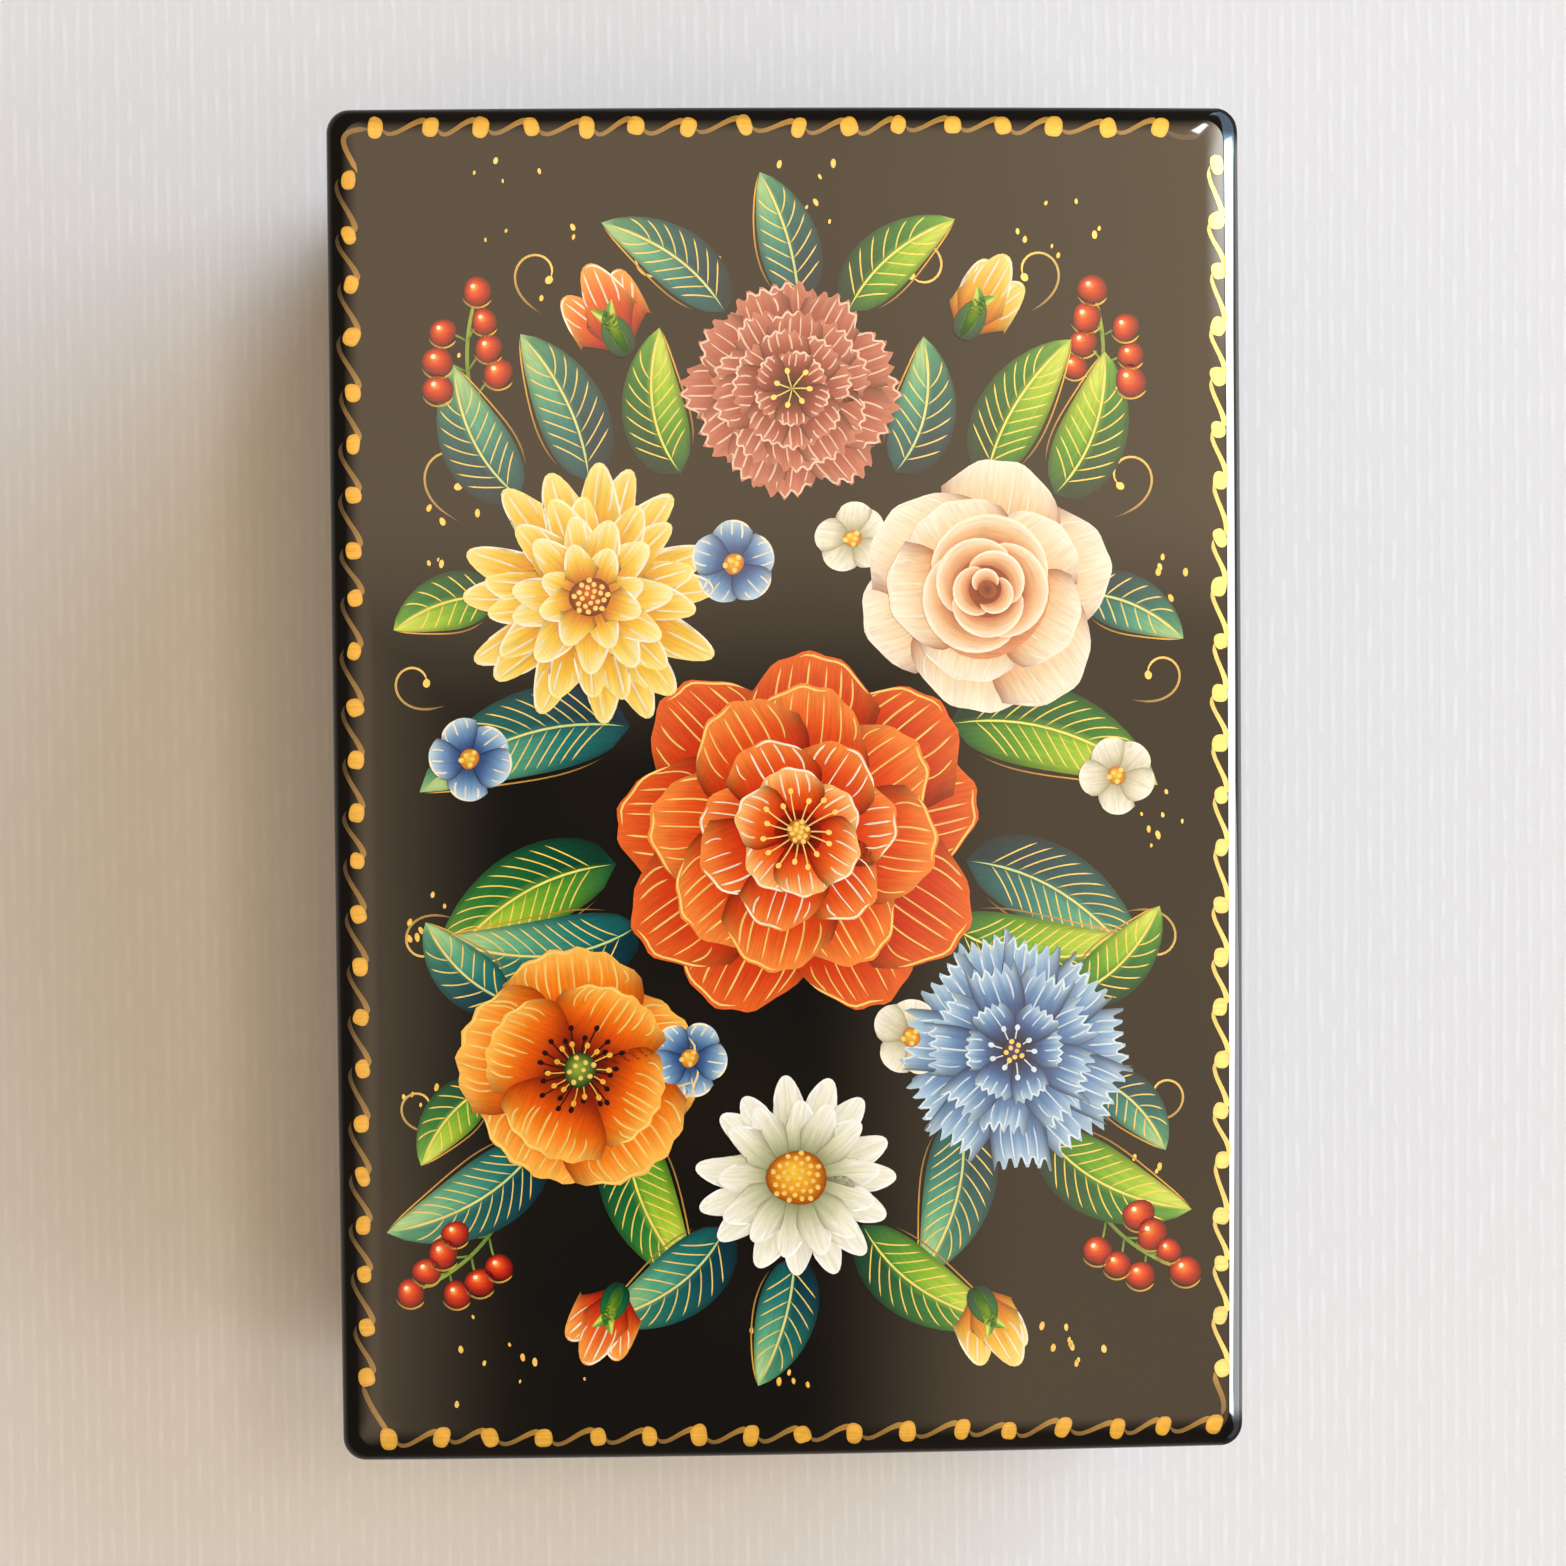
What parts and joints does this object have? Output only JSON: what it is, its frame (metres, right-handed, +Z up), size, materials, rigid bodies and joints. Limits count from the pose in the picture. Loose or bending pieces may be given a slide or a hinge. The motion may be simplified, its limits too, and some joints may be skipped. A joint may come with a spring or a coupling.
{
  "type": "hinged lacquer box",
  "caption": "Small rectangular lacquered papier-mache keepsake box with a slightly crowned lid on a let-in brass hinge, centred by an inner lip and opening past upright to a stop.",
  "frame": {"origin": "middle of the underside of the base board", "axes": "+X to the right of the lid's picture, away from the hinge; +Y to the top of the picture, along the hinge; +Z up through the lid"},
  "size_m": [0.06, 0.089, 0.0325],
  "materials": {
    "black_lacquer": "gloss",
    "red_lacquer": "gloss",
    "brass": "satin"
  },
  "bodies": {
    "case": {"base_board": "black_lacquer", "case_walls": "black_lacquer", "strip_right": "red_lacquer", "strip_top": "red_lacquer", "strip_left": "red_lacquer", "strip_bottom": "red_lacquer", "case_hinge_leaf": "brass", "case_hinge_nails": "brass", "hinge_pin": "brass"},
    "lid": {"lid_rim": "black_lacquer", "lid_panel": "black_lacquer", "lid_hinge_leaf": "brass", "lid_hinge_nails": "brass"}
  },
  "joints": [
    {"name": "lid_hinge", "type": "hinge", "parent": "case", "child": "lid", "pos_m": [-0.02885, 0, 0.021], "axis": [0, -1, 0], "range_deg": [0, 100]}
  ]
}
